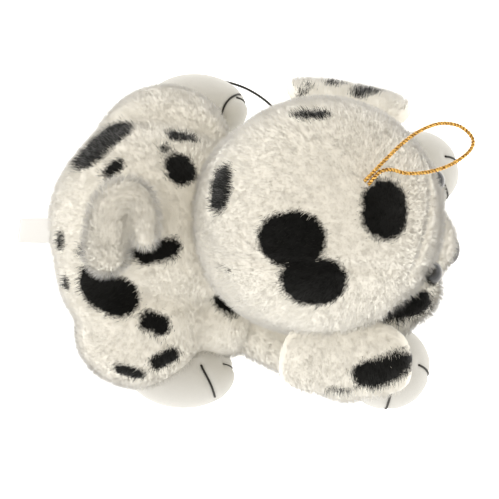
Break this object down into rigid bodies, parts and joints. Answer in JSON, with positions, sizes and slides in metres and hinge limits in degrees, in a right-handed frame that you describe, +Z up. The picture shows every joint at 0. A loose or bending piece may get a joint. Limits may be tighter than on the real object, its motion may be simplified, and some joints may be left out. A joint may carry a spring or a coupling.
{
  "type": "plush dog",
  "caption": "Lying plush puppy with a large round head, drooping ears, splayed legs, a curled tail, black spots on ivory pile and a metallic hanging loop.",
  "frame": {"origin": "centre of the base of the object's bounding box, without its two cords, on the surface that it lies on", "axes": "+Z up, the nose towards -Y, the dog's left towards +X"},
  "size_m": [0.1462, 0.1705, 0.1136],
  "materials": {
    "spotted_pile": "soft ivory pile about 4 mm long with black spots",
    "short_pile": "smooth short pile, matt",
    "stuffing": "loose white polyester fibre",
    "black_yarn": "twisted yarn, matt",
    "black_plastic": "polished",
    "white_plastic": "moulded",
    "gold_cord": "twisted metallic yarn with a glitter",
    "satin_ribbon": "smooth woven ribbon, blank",
    "pouch_cloth": "plain woven cotton",
    "pellets": "small round beads"
  },
  "bodies": {
    "body": {"belly_panel": "spotted_pile", "back_left_panel": "spotted_pile", "back_right_panel": "spotted_pile", "body_stuffing": "stuffing", "bean_pouch": "pouch_cloth", "bean_fill": "pellets", "blank_label": "satin_ribbon"},
    "neck": {"neck_stuffing": "stuffing"},
    "head": {"crown_gusset": "spotted_pile", "face_left_panel": "spotted_pile", "face_right_panel": "spotted_pile", "muzzle_panel": "spotted_pile", "head_stuffing": "stuffing", "eye_left": "black_plastic", "eye_right": "black_plastic", "nose": "black_plastic", "eye_left_washer": "white_plastic", "eye_right_washer": "white_plastic", "nose_washer": "white_plastic", "mouth_stitch": "black_yarn", "gold_cord_loop": "gold_cord"},
    "ear_left": {"ear_left_outer": "spotted_pile", "ear_left_lining": "spotted_pile"},
    "ear_right": {"ear_right_outer": "spotted_pile", "ear_right_lining": "spotted_pile"},
    "tail_base": {"tail_base_cover": "spotted_pile", "tail_base_stuffing": "stuffing"},
    "tail_tip": {"tail_tip_cover": "spotted_pile", "tail_tip_stuffing": "stuffing"},
    "hind_left": {"hind_left_thigh_cover": "spotted_pile", "hind_left_thigh_stuffing": "stuffing", "hind_left_foot_cover": "short_pile", "hind_left_foot_stuffing": "stuffing", "hind_left_toe_line_inner": "black_yarn", "hind_left_toe_line_outer": "black_yarn", "loose_toe_yarn": "black_yarn"},
    "fore_left": {"fore_left_leg_cover": "spotted_pile", "fore_left_leg_stuffing": "stuffing", "fore_left_paw_cover": "short_pile", "fore_left_paw_stuffing": "stuffing", "fore_left_toe_line_inner": "black_yarn", "fore_left_toe_line_outer": "black_yarn"},
    "hind_right": {"hind_right_thigh_cover": "spotted_pile", "hind_right_thigh_stuffing": "stuffing", "hind_right_foot_cover": "short_pile", "hind_right_foot_stuffing": "stuffing", "hind_right_toe_line_inner": "black_yarn", "hind_right_toe_line_outer": "black_yarn"},
    "fore_right": {"fore_right_leg_cover": "spotted_pile", "fore_right_leg_stuffing": "stuffing", "fore_right_paw_cover": "short_pile", "fore_right_paw_stuffing": "stuffing", "fore_right_toe_line_inner": "black_yarn", "fore_right_toe_line_outer": "black_yarn"}
  },
  "joints": [
    {"name": "neck_nod", "type": "hinge", "parent": "body", "child": "neck", "pos_m": [-0.0045, -0.01424, 0.05], "axis": [-1, 0, 0], "range_deg": [0, 15]},
    {"name": "neck_turn", "type": "hinge", "parent": "neck", "child": "head", "pos_m": [-0.0045, -0.01424, 0.05], "axis": [0, 0, 1], "range_deg": [-12, 12], "stiffness_Nm_per_rad": 0.06},
    {"name": "ear_left_lift", "type": "hinge", "parent": "head", "child": "ear_left", "pos_m": [0.0365, -0.03824, 0.052], "axis": [0, -1, 0], "range_deg": [0, 55]},
    {"name": "ear_right_lift", "type": "hinge", "parent": "head", "child": "ear_right", "pos_m": [-0.0455, -0.03824, 0.052], "axis": [0, 1, 0], "range_deg": [0, 55]},
    {"name": "tail_lift", "type": "hinge", "parent": "body", "child": "tail_base", "pos_m": [-0.0295, 0.05176, 0.063], "axis": [-0.1811, -0.9835, 0], "range_deg": [0, 40]},
    {"name": "tail_uncurl", "type": "hinge", "parent": "tail_base", "child": "tail_tip", "pos_m": [-0.0055, 0.04026, 0.0792], "axis": [-0.6242, -0.3001, 0.7213], "range_deg": [0, 25]},
    {"name": "hind_left_swing", "type": "hinge", "parent": "body", "child": "hind_left", "pos_m": [0.0335, 0.04276, 0.024], "axis": [0, 0, 1], "range_deg": [-2, 10], "stiffness_Nm_per_rad": 0.03},
    {"name": "hind_right_swing", "type": "hinge", "parent": "body", "child": "hind_right", "pos_m": [-0.0385, 0.04276, 0.024], "axis": [0, 0, -1], "range_deg": [-2, 10], "stiffness_Nm_per_rad": 0.03},
    {"name": "fore_left_swing", "type": "hinge", "parent": "body", "child": "fore_left", "pos_m": [0.0295, -0.00624, 0.02], "axis": [0, 0, 1], "range_deg": [0, 12], "stiffness_Nm_per_rad": 0.03},
    {"name": "fore_right_swing", "type": "hinge", "parent": "body", "child": "fore_right", "pos_m": [-0.0345, -0.00524, 0.02], "axis": [0, 0, -1], "range_deg": [0, 12], "stiffness_Nm_per_rad": 0.03}
  ]
}
